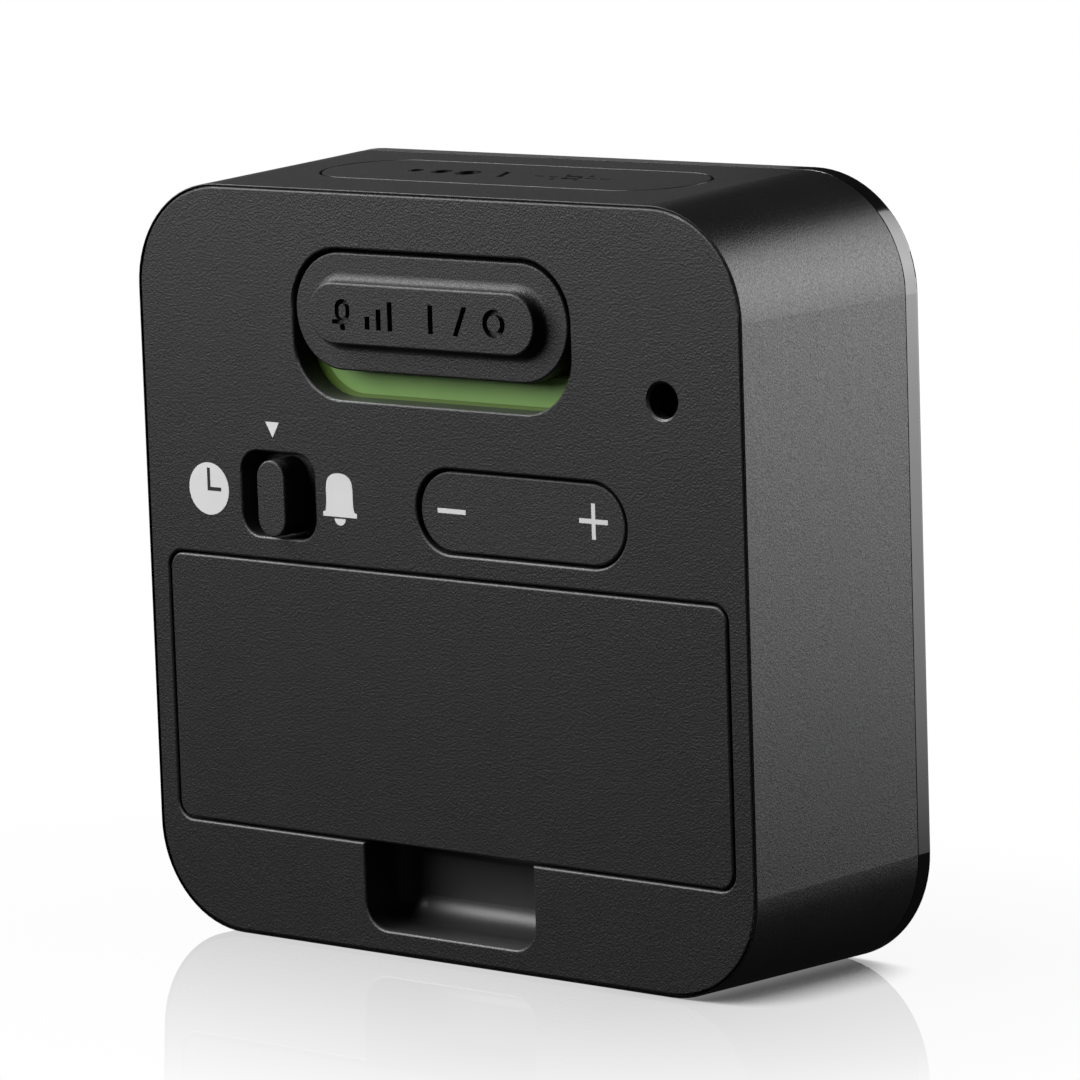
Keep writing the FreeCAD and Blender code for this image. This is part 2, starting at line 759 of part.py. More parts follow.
def add_rocker_ears(body):
    """Two ears with a bore each for the rocker's pivot pins."""
    x, z = size("rocker_side"), size("rocker_level")
    pivot = size("rocker_pivot")
    bore = size("rocker_pin_radius") + size("pin_clearance")
    ears = [(tub_roof, z - 4.65), (z + 4.65, z + 5.85)]
    for low, high in ears:
        pad(body, "z", low, high, rectangle(x - 1.9, x + 1.9, pivot - 1.8, cover_inside))
        cut(body, "z", low, high, circle(x, pivot, bore))


def cut_control_openings(body):
    half = size("alarm_slot_width") / 2
    cut(body, "y", size("indicator_level"), 0,
        rounded(-half, half, size("alarm_slot_bottom"), size("alarm_slot_top"),
                size("alarm_slot_corner")))
    x, z = size("mode_side"), size("mode_level")
    across, up = size("mode_slot_width") / 2, size("mode_slot_height") / 2
    cut(body, "y", cover_inside, 0, rounded(x - across, x + across, z - up, z + up, 2))
    cut(body, "y", cover_inside, 0,
        pill(size("rocker_side"), size("rocker_level"),
             size("rocker_width") + 2 * size("rocker_gap_side"),
             size("rocker_height") + 2 * size("rocker_gap_level")))
    alarm = within(x=(-17, 17), y=(0, 0), z=(49, 66))
    mode = within(x=(13, 24), y=(0, 0), z=(37, 46))
    rocker = within(x=(-22, 3), y=(0, 0), z=(37, 46))
    door = within(x=(-32, 32), y=(0, 0), z=(10.6, 36))
    notch = within(x=(-9.7, 9.7), y=(0, 0), z=(3, 11))
    soften(body, size("edge"), alarm, mode, rocker, door, notch)


# --- Battery cover, cells and contacts ---------------------------------------------------------

def make_battery_cover():
    body = new_body("battery_cover")
    half = size("door_width") / 2
    inside = -size("door_thickness")
    bottom, top = size("door_bottom"), size("door_top")
    pad(body, "y", inside, 0, rounded(-half, half, bottom, top, size("door_corner")))
    soften(body, size("edge"), within(y=(0, 0)))
    tab = size("tab_side")
    pad(body, "y", inside - 0.7, inside,
        *[rectangle(s * tab - 3, s * tab + 3, top - 2.6, top - 0.4) for s in SIDES])
    pad(body, "y", inside - 1.7, inside - 0.7,
        *[rectangle(s * tab - 3, s * tab + 3, top - 2.6, top + 1.1) for s in SIDES])


def make_battery(name, level, nub_side):
    """AAA cell lying across the clock with its nub towards one side."""
    body = new_body(name)
    y = size("cell_level")
    end = size("cell_length") / 2
    shoulder = end - 0.9
    if nub_side > 0:
        pad(body, "x", -end, shoulder, circle(y, level, size("cell_radius")))
        soften(body, 0.4, within(x=(-end.value, -end.value)), within(x=(shoulder.value, shoulder.value)))
        pad(body, "x", shoulder, end, circle(y, level, 1.9))
    else:
        pad(body, "x", -shoulder, end, circle(y, level, size("cell_radius")))
        soften(body, 0.4, within(x=(end.value, end.value)), within(x=(-shoulder.value, -shoulder.value)))
        pad(body, "x", -end, -shoulder, circle(y, level, 1.9))


def make_contact(name, side, bottom, top, dimple_level, tail_level):
    """Upright sheet with a dimple for a nub and a tail down to the board."""
    body = new_body(name)
    plate = sorted([side * contact_inside, side * contact_outside], key=lambda length: length.value)
    dimple = sorted([side * (size("cell_length") / 2 + 0.05), side * contact_inside],
                    key=lambda length: length.value)
    pad(body, "x", plate[0], plate[1], rectangle(tub_floor + 0.1, -4.2, bottom, top))
    if dimple_level is not None:
        pad(body, "x", dimple[0], dimple[1], circle(size("cell_level"), dimple_level, 1.6))
    if tail_level is not None:
        pad(body, "x", plate[0], plate[1],
            rectangle(board_back, tub_floor + 0.1, tail_level - 1.5, tail_level + 1.5))


def make_contacts():
    low, high = size("tub_bottom") + 0.1, size("tub_top") - 0.1
    split = (size("cell_low") + size("cell_high")) / 2
    make_contact("contact_bridge", 1, low, high, size("cell_low"), None)
    make_contact("contact_negative", -1, low, split - 0.4, None, size("cell_low"))
    make_contact("contact_positive", -1, split + 0.4, high, size("cell_high"), size("cell_high"))


def make_contact_spring(name, side, level):
    """Coil spring between a contact sheet and the flat end of a cell."""
    wire = 0.22
    pitch = (size("contact_gap") - 2 * wire - 0.06) / 3
    spine = doc.addObject("Part::Helix", name + "_path")
    spine.setExpression("Pitch", pitch.formula)
    spine.setExpression("Height", (3 * pitch).formula)
    spine.Radius = 2.6
    start = size("cell_length") / 2 + wire + 0.03
    spine.Placement.Rotation = FreeCAD.Rotation(FreeCAD.Vector(0, 1, 0), 90 * side)
    spine.setExpression("Placement.Base.x", (side * start).formula)
    spine.setExpression("Placement.Base.y", size("cell_level").formula)
    spine.setExpression("Placement.Base.z", level.formula)
    section = doc.addObject("Part::Circle", name + "_wire")
    section.Radius = wire
    doc.recompute()
    first = spine.Shape.Edges[0]
    section.Placement = FreeCAD.Placement(
        first.valueAt(first.FirstParameter),
        FreeCAD.Rotation(FreeCAD.Vector(0, 0, 1), first.tangentAt(first.FirstParameter)))
    spring = doc.addObject("Part::Sweep", name)
    spring.Label = name
    spring.Sections = [section]
    spring.Spine = spine
    spring.Solid = True
    spring.Frenet = True


# --- Screws --------------------------------------------------------------------------------------

def make_screw(name, x, z, seat, head_radius, head_height, tip):
    """Pan-head screw with a cross recess, driven in from the back."""
    body = new_body(name)
    top = seat + head_height
    pad(body, "y", tip, seat, circle(x, z, size("pilot_radius") - 0.02))
    pad(body, "y", seat, top, circle(x, z, head_radius))
    soften(body, 0.3, within(y=(top.value, top.value)))
    arm, half = 1.0, 0.22
    cut(body, "y", top - 0.6, top, polygon(
        (x - arm, z - half), (x - half, z - half), (x - half, z - arm), (x + half, z - arm),
        (x + half, z - half), (x + arm, z - half), (x + arm, z + half), (x + half, z + half),
        (x + half, z + arm), (x - half, z + arm), (x - half, z + half), (x - arm, z + half)))


def make_screws():
    names = ("board_screw_right_low", "board_screw_right_high",
             "board_screw_left_low", "board_screw_left_high")
    for name, (x, z) in zip(names, board_screw_places()):
        make_screw(name, x, z, board_back, 1.7, 1.0, web_back + 1.2)
    for name, side in (("case_screw_right", -1), ("case_screw_left", 1)):
        make_screw(name, side * size("case_screw_side"), size("case_screw_level"),
                   tub_floor, 1.8, 1.2, web_back + 2)


# --- Controls ------------------------------------------------------------------------------------

def make_alarm_slider():
    body = new_body("alarm_slider")
    face = as_length(-0.1)
    inside = size("indicator_level") + 0.2
    pad(body, "y", inside, face,
        pill(0, slide_level, size("alarm_width"), size("alarm_top") - size("alarm_bottom")))
    soften(body, size("edge"), within(y=(face.value, face.value)))
    pad(body, "y", face, size("grip_reach"),
        pill(0, slide_level, size("grip_width"), size("grip_height")))
    soften(body, 0.2, within(y=(size("grip_reach").value, size("grip_reach").value)))
    grip = within(x=(-12.8, 12.8), y=(face.value, face.value), z=(55.4, 61.2))
    soften(body, 0.75, grip)
    for side in SIDES:
        legs = sorted([side * 10.0, side * 13.0])
        hooks = sorted([side * 10.0, side * 14.2])
        pad(body, "y", -4.6, inside, rectangle(legs[0], legs[1], slide_level - 0.6, slide_level + 0.6))
        pad(body, "y", -4.6, -3.6, rectangle(hooks[0], hooks[1], slide_level - 0.6, slide_level + 0.6))
    x = alarm_stem_side
    fork = size("lever") + size("fork_gap")
    pad(body, "y", -8.6, inside, rectangle(x - 1.5, x + 1.5, slide_level - 2, slide_level + 2))
    cut(body, "y", -8.6, -6.6, rectangle(x - 1.5, x + 1.5, slide_level - fork, slide_level + fork))
    sink_alarm_signs(body)


def sink_alarm_signs(body):
    """A bell with rising bars, then on, stroke and off, sunk into the grip."""
    top = size("grip_reach")
    floor = top - size("sign_depth")
    z = slide_level
    bell = as_length(8.8)
    cut(body, "y", floor, top, rounded(bell - 0.85, bell + 0.85, z - 0.7, z + 1.3, 0.8),
        rounded(bell - 0.4, bell + 0.4, z - 0.35, z + 0.85, 0.38))
    cut(body, "y", floor, top, rectangle(bell - 1.2, bell + 1.2, z - 0.9, z - 0.5))
    cut(body, "y", floor, top, circle(bell, z - 1.15, 0.3))
    bars = [rectangle(5.7 - 1.3 * step, 6.25 - 1.3 * step, z - 1.25, z - 0.1 + 0.7 * step)
            for step in range(3)]
    turned_on = rectangle(-1.5, -0.95, z - 1.25, z + 1.25)
    stroke = polygon((-3.7, z - 1.3), (-4.25, z - 1.3), (-5.35, z + 1.3), (-4.8, z + 1.3))
    cut(body, "y", floor, top, *bars, turned_on, stroke)
    cut(body, "y", floor, top, circle(-8.3, z, 1.25), circle(-8.3, z, 0.72))


def make_slider_guide_plate():
    """Dark plate fixed behind the alarm opening; the slider's hooks run in its slots."""
    body = new_body("slider_guide_plate")
    high = size("indicator_level")
    bottom = size("alarm_slot_bottom") + 3.35
    pad(body, "y", high - 1, high, rectangle(-17.2, 17.2, bottom, size("alarm_slot_top") + 1))
    travel = size("alarm_travel")
    x = alarm_stem_side
    slots = [rectangle(left, left + 3.4, slide_level - 0.8 - travel, slide_level + 0.8)
             for left in (-13.2, 9.8)]
    slots.append(rectangle(x - 1.7, x + 1.7, bottom - 1, slide_level + 2.2))
    cut(body, "y", high - 1, high, *slots)


def make_alarm_indicator_plate():
    """Coloured plate that shows under the slider when the alarm is on."""
    body = new_body("alarm_indicator_plate")
    high = size("indicator_level")
    bottom = size("alarm_slot_bottom")
    pad(body, "y", high - 1, high, rectangle(-17.2, 17.2, bottom - 1, bottom + 3.2))


def make_mode_knob():
    body = new_body("mode_knob")
    x, z = size("mode_side"), size("mode_level")
    reach = size("mode_knob_reach")
    plate = cover_inside - 0.15
    pad(body, "y", plate - 1, plate, rounded(x - 7, x + 7, z - 4.7, z + 4.7, 1))
    level = z - size("mode_knob_drop")
    pad(body, "y", plate, reach,
        pill(x, level, size("mode_knob_width"), size("mode_knob_height")))
    soften(body, size("edge"), within(y=(reach.value, reach.value)))
    fork = size("lever") + size("fork_gap")
    pad(body, "y", -8.6, plate - 1, rectangle(x - 2, x + 2, z - 1.5, z + 1.5))
    cut(body, "y", -8.6, -6.6, rectangle(x - fork, x + fork, z - 1.5, z + 1.5))


def make_rocker_button():
    """One cap for minus and plus that tips about two pins in its middle."""
    body = new_body("rocker_button")
    x, z = size("rocker_side"), size("rocker_level")
    pivot = size("rocker_pivot")
    face = size("rocker_face")
    pad(body, "y", -2.9, face, pill(x, z, size("rocker_width"), size("rocker_height")))
    soften(body, size("edge"), within(y=(face.value, face.value)))
    pad(body, "y", -3.9, -2.9, pill(x, z, size("rocker_width") + 2.6, size("rocker_height") + 1.8))
    pad(body, "y", pivot - 1, -3.9, rectangle(x - 1.4, x + 1.4, z - 4.4, z + 4.4))
    pad(body, "z", z - 5.3, z + 5.3, circle(x, pivot, size("rocker_pin_radius")))
    push = size("push_side")
    pad(body, "y", -9.9, -3.9, *[circle(x + s * push, z, 1.2) for s in SIDES])


def make_snooze_bar():
    body = new_body("snooze_bar")
    y = size("snooze_middle")
    length, width = size("snooze_length"), size("snooze_width")
    flange = size("snooze_flange")
    pad(body, "z", flange + 1.2, middle + 36, pill(0, y, length, width))
    top = size("front_size")
    edge_drop = (size("case_depth") + y) * slope
    reach = width
    cut(body, "x", -length, length, polygon(
        (y - reach, top - edge_drop + reach * slope), (y + reach, top - edge_drop - reach * slope),
        (y + reach, top + 5), (y - reach, top + 5)))
    soften(body, size("edge") / 2, within(z=(68.8, 70)))
    pad(body, "z", flange, flange + 1.2, pill(0, y, length + 1.6, width + 1.6))
    pad(body, "z", 63, flange, rectangle(-1.5, 1.5, y - 1.5, y + 1.5))
    sink_snooze_signs(body, top - edge_drop)


def sink_snooze_signs(body, surface):
    """Three growing dots for a short rest, a stroke and a lamp with rays."""
    y = size("snooze_middle")
    floor = surface - size("sign_depth")
    high = surface + 1
    dots = [circle(11.2 - 3.0 * step, y, 0.75 + 0.25 * step) for step in range(3)]
    stroke = polygon((2.0, y - 1.5), (1.4, y - 1.5), (0.2, y + 1.5), (0.8, y + 1.5))
    cut(body, "z", floor, high, *dots, stroke)
    lamp = as_length(-6.6)
    cut(body, "z", floor, high, circle(lamp, y, 1.0), circle(lamp, y, 0.5))
    rays = []
    for side in SIDES:
        for near, far in ((1.5, 2.6), (3.1, 4.2)):
            ends = sorted([lamp + side * near, lamp + side * far], key=lambda length: length.value)
            rays.append(rectangle(ends[0], ends[1], y - 0.2, y + 0.2))
        for lean in SIDES:
            rays.append(circle(lamp + side * 1.3, y + lean * 1.2, 0.3))
    cut(body, "z", floor, high, *rays)


# --- Build everything ------------------------------------------------------------------------------

make_front_bezel()
make_display_window()
make_lcd_glass()
make_lcd_frame()
make_contact_strips()
make_light_guide()
make_backlight_leds()
make_main_board()
make_chip()
make_crystal()
make_capacitors()
make_buzzer()
make_alarm_switch()
make_mode_switch()
make_push_switches()
make_snooze_switch()
make_case_shell()
make_back_cover()
make_battery_cover()
make_battery("battery_lower", size("cell_low"), 1)
make_battery("battery_upper", size("cell_high"), -1)
make_contacts()
make_contact_spring("contact_spring_lower", -1, size("cell_low"))
make_contact_spring("contact_spring_upper", 1, size("cell_high"))
make_screws()
make_alarm_slider()
make_slider_guide_plate()
make_alarm_indicator_plate()
make_mode_knob()
make_rocker_button()
make_snooze_bar()
doc.recompute()


# --- Lean the clock back on its flat bottom and write each sub-part --------------------------------

lean = math.atan(slope.value)
grip_top = (slide_level + size("grip_height") / 2).value
depth = size("case_depth").value
reach_back = (
    (depth + size("grip_reach").value) * math.cos(lean) + grip_top * math.sin(lean) - depth)
turn = FreeCAD.Rotation(FreeCAD.Vector(1, 0, 0), -math.degrees(lean))
front_foot = FreeCAD.Vector(0, -depth, 0)
to_middle = FreeCAD.Vector(0, (depth - reach_back) / 2, 0)
lean_back = FreeCAD.Placement(front_foot - turn.multVec(front_foot) + to_middle, turn)

nodes = [item for item in doc.Objects if item.TypeId in ("PartDesign::Body", "Part::Sweep")]
for node in nodes:
    node.Placement = lean_back
doc.recompute()

for item in doc.Objects:
    if "Invalid" in item.State or "Error" in item.State:
        raise RuntimeError("%s did not compute: %s" % (item.Label, item.State))

os.makedirs("parts", exist_ok=True)
for node in nodes:
    shape = node.Shape
    if shape.isNull() or not shape.isValid() or len(shape.Solids) != 1:
        raise RuntimeError("%s is not one valid solid" % node.Label)
    shape.exportStep("parts/%s.step" % node.Label)
    print("%-26s %9.2f mm3" % (node.Label, shape.Volume))
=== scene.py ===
import math

import bmesh
import bpy
from mathutils import Matrix, Vector


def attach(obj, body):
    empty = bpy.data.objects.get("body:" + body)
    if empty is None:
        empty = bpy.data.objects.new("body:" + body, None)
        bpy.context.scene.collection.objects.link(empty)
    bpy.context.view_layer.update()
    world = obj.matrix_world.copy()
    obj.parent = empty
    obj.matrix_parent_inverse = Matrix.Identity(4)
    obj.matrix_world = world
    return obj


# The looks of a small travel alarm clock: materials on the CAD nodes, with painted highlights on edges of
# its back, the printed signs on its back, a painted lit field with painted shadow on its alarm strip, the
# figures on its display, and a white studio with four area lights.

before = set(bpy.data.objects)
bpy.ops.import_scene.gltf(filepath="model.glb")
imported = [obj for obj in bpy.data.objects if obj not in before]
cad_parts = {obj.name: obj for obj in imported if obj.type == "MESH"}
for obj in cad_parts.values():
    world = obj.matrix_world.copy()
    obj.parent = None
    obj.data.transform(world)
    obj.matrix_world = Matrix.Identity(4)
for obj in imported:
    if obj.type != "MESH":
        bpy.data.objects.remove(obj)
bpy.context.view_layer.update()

MM = 0.001

# The clock leans back on its flat bottom.  Places on it are given upright, in millimetres
# across (x), from the back face (y, negative towards the display) and up (z).
CASE_DEPTH = 24.0
LEAN = math.atan(1 / CASE_DEPTH)
BACK_FACE_FOOT = 10.1162


def on_case(x, y, z):
    """A place on the upright case as a point in the frame, in metres."""
    forward = y + CASE_DEPTH
    return Vector((
        x,
        forward * math.cos(LEAN) + z * math.sin(LEAN) - CASE_DEPTH + BACK_FACE_FOOT,
        z * math.cos(LEAN) - forward * math.sin(LEAN),
    )) * MM


# --- Materials ------------------------------------------------------------------------------

def new_material(name):
    material = bpy.data.materials.new(name)
    material.use_nodes = True
    return material, material.node_tree, material.node_tree.nodes["Principled BSDF"]


def add_node(tree, kind, **settings):
    node = tree.nodes.new(kind)
    for key, value in settings.items():
        if key in node.inputs:
            node.inputs[key].default_value = value
        else:
            setattr(node, key, value)
    return node


def object_noise(tree, size, detail=2.0, roughness=0.5):
    """Noise fixed to the object, with features of about the given size in millimetres."""
    place = add_node(tree, "ShaderNodeTexCoord")
    noise = add_node(tree, "ShaderNodeTexNoise", Scale=1 / (size * MM), Detail=detail, Roughness=roughness)
    tree.links.new(place.outputs["Object"], noise.inputs["Vector"])
    return noise.outputs["Fac"]


def object_cells(tree, size):
    place = add_node(tree, "ShaderNodeTexCoord")
    cells = add_node(tree, "ShaderNodeTexVoronoi", Scale=1 / (size * MM), feature="SMOOTH_F1")
    tree.links.new(place.outputs["Object"], cells.inputs["Vector"])
    return cells.outputs["Distance"]


def remap(tree, value, source, target):
    """Map one range onto another; the ends of the target are numbers or node outputs."""
    node = add_node(tree, "ShaderNodeMapRange")
    node.inputs["From Min"].default_value = source[0]
    node.inputs["From Max"].default_value = source[1]
    for end, level in zip(("To Min", "To Max"), target):
        if isinstance(level, bpy.types.NodeSocket):
            tree.links.new(level, node.inputs[end])
        else:
            node.inputs[end].default_value = level
    tree.links.new(value, node.inputs["Value"])
    return node.outputs["Result"]


# Noise values lie near one half, and seldom leave this range.
NOISE_RANGE = (0.3, 0.7)


def spread(tree, noise, low, high):
    return remap(tree, noise, NOISE_RANGE, (low, high))


def vary_colour(tree, shader, dark, light, size):
    ramp = add_node(tree, "ShaderNodeValToRGB")
    for stop, place, colour in zip(ramp.color_ramp.elements, NOISE_RANGE, (dark, light)):
        stop.position = place
        stop.color = (*colour, 1)
    tree.links.new(object_noise(tree, size, detail=4.0), ramp.inputs["Fac"])
    tree.links.new(ramp.outputs["Color"], shader.inputs["Base Color"])


def vary_roughness(tree, shader, low, high, size):
    tree.links.new(spread(tree, object_noise(tree, size, detail=3.0), low, high), shader.inputs["Roughness"])


def add_relief(tree, shader, layers, strength=None):
    """Stack bump layers, each a (height output, depth in millimetres) pair.

    The strength output, if there is one, says how much of the relief is left at each place.
    """
    previous = None
    for height, depth in layers:
        bump = add_node(tree, "ShaderNodeBump", Strength=1.0, Distance=depth * MM)
        if strength:
            tree.links.new(strength, bump.inputs["Strength"])
        tree.links.new(height, bump.inputs["Height"])
        if previous:
            tree.links.new(previous, bump.inputs["Normal"])
        previous = bump.outputs["Normal"]
    tree.links.new(previous, shader.inputs["Normal"])


# Slow changes of shade over a moulded surface, in millimetres.
SHADE_SIZE = 6.0


def moulded(name, dark, light, rough, grain, depth, pebble=0.0, specular=0.5, speckle=0.0):
    """Moulded plastic with an eroded grain of the given size and depth in millimetres.

    Rough is the range of roughness, pebble the depth of rounder pits on the grain, and
    speckle the share by which the gloss changes from fleck to fleck.
    """
    material, tree, shader = new_material(name)
    shader.inputs["Specular IOR Level"].default_value = specular
    if speckle:
        dull, bright = specular * (1 - speckle), specular * (1 + speckle)
        flecks = spread(tree, object_noise(tree, grain, detail=3.0, roughness=0.7), dull, bright)
        tree.links.new(flecks, shader.inputs["Specular IOR Level"])
    vary_colour(tree, shader, dark, light, SHADE_SIZE)
    vary_roughness(tree, shader, rough[0], rough[1], grain * 2)
    layers = [(object_noise(tree, grain, detail=3.0, roughness=0.6), depth)]
    if pebble:
        layers.append((object_cells(tree, grain * 1.3), pebble))
    add_relief(tree, shader, layers)
    return material


# The grain of the back fades out between these places below the back face, in millimetres,
# and this share of it is left in the recesses.
BACK_OUTWARD = Vector((0, math.cos(LEAN), -math.sin(LEAN)))
GRAIN_FADE = (-0.25, -0.03)
GRAIN_IN_RECESS = 0.15


def on_back_face(tree):
    """One on the back face of the clock and near zero in the recesses sunk into it."""
    place = add_node(tree, "ShaderNodeTexCoord")
    outward = add_node(tree, "ShaderNodeVectorMath", operation="DOT_PRODUCT")
    outward.inputs[1].default_value = BACK_OUTWARD
    tree.links.new(place.outputs["Object"], outward.inputs[0])
    levels = [BACK_OUTWARD.dot(on_case(0, depth, 0)) for depth in GRAIN_FADE]
    return remap(tree, outward.outputs["Value"], levels, (GRAIN_IN_RECESS, 1.0))


# Edges that look this way get a painted highlight, a paler colour, from a little to fully as they turn
# towards it.
GLINT_SIDE = (-0.5, 0, 0.87)
GLINT_RANGE = (0.2, 0.6)
GLINT_COLOUR = (0.16, 0.16, 0.16, 1)


def paint_edge_glints(tree, shader, near_face):
    """Rounded edges next to the back face that look up or outwards get a painted highlight: their colour is
    mixed towards a paler grey.
    """
    place = add_node(tree, "ShaderNodeTexCoord")
    facing = add_node(tree, "ShaderNodeVectorMath", operation="DOT_PRODUCT")
    facing.inputs[1].default_value = GLINT_SIDE
    amount = add_node(tree, "ShaderNodeMath", operation="MULTIPLY")
    glinted = add_node(tree, "ShaderNodeMix", data_type="RGBA")
    glinted.inputs["B"].default_value = GLINT_COLOUR
    plain = shader.inputs["Base Color"].links[0].from_socket
    tree.links.new(place.outputs["Normal"], facing.inputs[0])
    tree.links.new(remap(tree, facing.outputs["Value"], GLINT_RANGE, (0.0, 1.0)), amount.inputs[0])
    tree.links.new(near_face, amount.inputs[1])
    tree.links.new(amount.outputs[0], glinted.inputs["Factor"])
    tree.links.new(plain, glinted.inputs["A"])
    tree.links.new(glinted.outputs["Result"], shader.inputs["Base Color"])


RECESS_ROUGHNESS = 0.43
RECESS_SPECULAR = 0.95


def grained_back(name, dark, light, rough, grain, depth, pebble):
    """Eroded grain on the back face, while the recesses are smooth and glossier."""
    material, tree, shader = new_material(name)
    face = on_back_face(tree)
    vary_colour(tree, shader, dark, light, SHADE_SIZE)
    # Painted highlights on the edges next to the back face that look up or outwards.
    paint_edge_glints(tree, shader, face)
    face_roughness = spread(tree, object_noise(tree, grain * 2, detail=3.0), rough[0], rough[1])
    links = {
        "Specular IOR Level": remap(tree, face, (0.0, 1.0), (RECESS_SPECULAR, 0.5)),
        "Roughness": remap(tree, face, (0.0, 1.0), (RECESS_ROUGHNESS, face_roughness))}
    for socket, value in links.items():
        tree.links.new(value, shader.inputs[socket])
    add_relief(tree, shader, [
        (object_noise(tree, grain, detail=3.0, roughness=0.6), depth),
        (object_cells(tree, grain * 1.3), pebble)], face)
    return material


def metal(name, colour, rough, grain=0.3, depth=0.002):
    material, tree, shader = new_material(name)
    shader.inputs["Metallic"].default_value = 1.0
    dark = tuple(channel * 0.85 for channel in colour)
    vary_colour(tree, shader, dark, colour, 2.0)
    vary_roughness(tree, shader, rough[0], rough[1], 1.5)
    add_relief(tree, shader, [(object_noise(tree, grain), depth)])
    return material


def glass(name, tint, rough=0.02):
    """Clear pane with a faint smear of fingerprints in its gloss."""
    material, tree, shader = new_material(name)
    shader.inputs["Base Color"].default_value = (*tint, 1)
    shader.inputs["Transmission Weight"].default_value = 1.0
    shader.inputs["IOR"].default_value = 1.49
    vary_roughness(tree, shader, rough, rough + 0.03, 9.0)
    add_relief(tree, shader, [(object_noise(tree, 14.0), 0.002)])
    return material


# Each material: its darker and lighter colour, its range of roughness, the size and the
# depth of its grain.
BACK_GRAIN = grained_back(
    "eroded_back", (0.0125, 0.0125, 0.0128), (0.0145, 0.0145, 0.0148), (0.40, 0.48), 0.135, 0.026, 0.026)
CASE_SATIN = moulded(
    "satin_case", (0.0065, 0.0065, 0.0068), (0.008, 0.008, 0.0083), (0.29, 0.35), 0.17, 0.020,
    specular=0.258, speckle=0.55)
CONTROL_GRAIN = moulded(
    "fine_control", (0.012, 0.012, 0.0123), (0.014, 0.014, 0.0143), (0.44, 0.52), 0.15, 0.044, 0.020)
BEZEL_GLOSS = moulded(
    "piano_black", (0.003, 0.003, 0.0032), (0.004, 0.004, 0.0042), (0.08, 0.11), 6.0, 0.004)
# The alarm plate gets a darker, shaded copy of its green and the field on it a paler, lit copy: painted
# shadow of the slot's walls and painted light.
SHADED_GREEN_PLATE = moulded("shaded_signal_green", (0.08, 0.16, 0.012), (0.1, 0.185, 0.018), (0.4, 0.5), 0.5, 0.003)
LIT_GREEN_FIELD = moulded(
    "painted_lit_green_field", (0.19, 0.375, 0.088), (0.222, 0.41, 0.105), (0.45, 0.55), 0.5, 0.003)
LIGHT_PRINT = moulded("light_print", (0.84, 0.84, 0.84), (0.9, 0.9, 0.9), (0.5, 0.6), 0.15, 0.002)
DARK_PRINT = moulded("dark_print", (0.01, 0.01, 0.01), (0.02, 0.02, 0.02), (0.4, 0.5), 0.15, 0.002)
SWITCH_BLACK = moulded(
    "switch_black", (0.015, 0.015, 0.015), (0.025, 0.025, 0.025), (0.45, 0.55), 0.3, 0.004)
SWITCH_LIGHT = moulded("switch_light", (0.55, 0.52, 0.45), (0.66, 0.63, 0.56), (0.4, 0.5), 0.3, 0.003)
FRAME_WHITE = moulded("frame_white", (0.62, 0.62, 0.6), (0.72, 0.72, 0.7), (0.45, 0.55), 0.3, 0.003)
STRIP_RUBBER = moulded("strip_rubber", (0.3, 0.16, 0.2), (0.4, 0.24, 0.28), (0.65, 0.8), 0.2, 0.006)
GUIDE = moulded("frosted_guide", (0.7, 0.76, 0.7), (0.8, 0.86, 0.8), (0.25, 0.4), 0.4, 0.003)
LED_BODY = moulded("led_body", (0.75, 0.6, 0.18), (0.85, 0.72, 0.3), (0.25, 0.35), 0.2, 0.002)
BOARD = moulded("solder_mask", (0.012, 0.075, 0.025), (0.02, 0.1, 0.035), (0.2, 0.32), 0.6, 0.003)
CHIP_EPOXY = moulded("chip_epoxy", (0.008, 0.008, 0.008), (0.014, 0.014, 0.014), (0.25, 0.4), 1.2, 0.02)
CELL_WRAP = moulded("cell_wrap", (0.03, 0.035, 0.045), (0.045, 0.05, 0.06), (0.2, 0.3), 3.0, 0.004)
CAN_METAL = metal("can_metal", (0.72, 0.72, 0.74), (0.25, 0.4))
CONTACT_METAL = metal("contact_metal", (0.78, 0.76, 0.7), (0.15, 0.3))
SCREW_STEEL = metal("screw_steel", (0.5, 0.5, 0.52), (0.3, 0.45))
PANE = glass("window_pane", (0.95, 0.97, 0.97))
DISPLAY_GLASS = moulded("display_glass", (0.24, 0.28, 0.2), (0.27, 0.31, 0.23), (0.12, 0.2), 0.6, 0.002)

